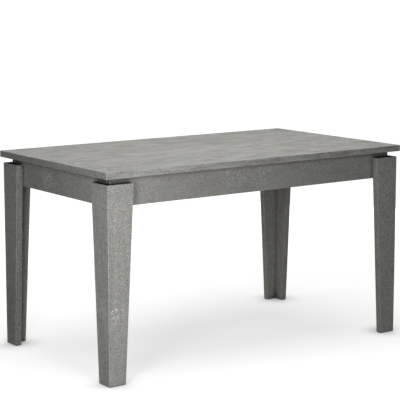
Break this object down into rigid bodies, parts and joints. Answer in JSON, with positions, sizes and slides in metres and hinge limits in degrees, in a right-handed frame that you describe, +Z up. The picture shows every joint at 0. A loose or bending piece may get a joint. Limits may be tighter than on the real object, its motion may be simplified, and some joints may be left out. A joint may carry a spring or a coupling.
{
  "type": "extendable dining table",
  "caption": "Rectangular dining table in grey wood with tapered two-board corner legs and a pull-out leaf stored under each end of the top.",
  "frame": {"origin": "middle of the footprint, on the floor", "axes": "+X along the table's length towards its right end, +Y towards its rear long side, +Z up"},
  "size_m": [1.4, 0.79, 0.775],
  "materials": {
    "top_veneer": "matt weathered-grey wood veneer, grain along the table",
    "frame_veneer": "matt weathered-grey wood veneer",
    "leg_veneer": "matt weathered-grey wood veneer, grain upright, edges lightly worn",
    "rail_wood": "plain unfinished softwood",
    "steel_dark": "black enamel",
    "steel_zinc": "zinc plated",
    "glide_felt": "black felt"
  },
  "bodies": {
    "table": {"table_top": "top_veneer", "front_apron": "frame_veneer", "rear_apron": "frame_veneer", "left_end_apron": "frame_veneer", "right_end_apron": "frame_veneer", "centre_rail": "rail_wood", "left_cross_rail": "rail_wood", "right_cross_rail": "rail_wood", "front_left_leg_side_board": "leg_veneer", "front_left_leg_end_board": "leg_veneer", "front_left_side_bolt_lower": "steel_zinc", "front_left_side_bolt_upper": "steel_zinc", "front_left_end_bolt_lower": "steel_zinc", "front_left_end_bolt_upper": "steel_zinc", "front_left_corner_block": "rail_wood", "front_left_floor_glide": "glide_felt", "front_left_top_bracket": "steel_zinc", "front_right_leg_side_board": "leg_veneer", "front_right_leg_end_board": "leg_veneer", "front_right_side_bolt_lower": "steel_zinc", "front_right_side_bolt_upper": "steel_zinc", "front_right_end_bolt_lower": "steel_zinc", "front_right_end_bolt_upper": "steel_zinc", "front_right_corner_block": "rail_wood", "front_right_floor_glide": "glide_felt", "front_right_top_bracket": "steel_zinc", "rear_left_leg_side_board": "leg_veneer", "rear_left_leg_end_board": "leg_veneer", "rear_left_side_bolt_lower": "steel_zinc", "rear_left_side_bolt_upper": "steel_zinc", "rear_left_end_bolt_lower": "steel_zinc", "rear_left_end_bolt_upper": "steel_zinc", "rear_left_corner_block": "rail_wood", "rear_left_floor_glide": "glide_felt", "rear_left_top_bracket": "steel_zinc", "rear_right_leg_side_board": "leg_veneer", "rear_right_leg_end_board": "leg_veneer", "rear_right_side_bolt_lower": "steel_zinc", "rear_right_side_bolt_upper": "steel_zinc", "rear_right_end_bolt_lower": "steel_zinc", "rear_right_end_bolt_upper": "steel_zinc", "rear_right_corner_block": "rail_wood", "rear_right_floor_glide": "glide_felt", "rear_right_top_bracket": "steel_zinc", "centre_left_top_bracket": "steel_zinc", "left_runner_keeper_front": "steel_zinc", "left_runner_keeper_rear": "steel_zinc", "centre_right_top_bracket": "steel_zinc", "right_runner_keeper_front": "steel_zinc", "right_runner_keeper_rear": "steel_zinc"},
    "left_leaf": {"left_leaf_panel": "top_veneer", "left_leaf_lip": "frame_veneer", "left_leaf_runner_front": "steel_dark", "left_leaf_runner_rear": "steel_dark"},
    "right_leaf": {"right_leaf_panel": "top_veneer", "right_leaf_lip": "frame_veneer", "right_leaf_runner_front": "steel_dark", "right_leaf_runner_rear": "steel_dark"}
  },
  "joints": [
    {"name": "left_leaf_slide", "type": "slide", "parent": "table", "child": "left_leaf", "axis": [-1, 0, 0], "range_m": [0, 0.2358]},
    {"name": "right_leaf_slide", "type": "slide", "parent": "table", "child": "right_leaf", "axis": [1, 0, 0], "range_m": [0, 0.2358]}
  ]
}
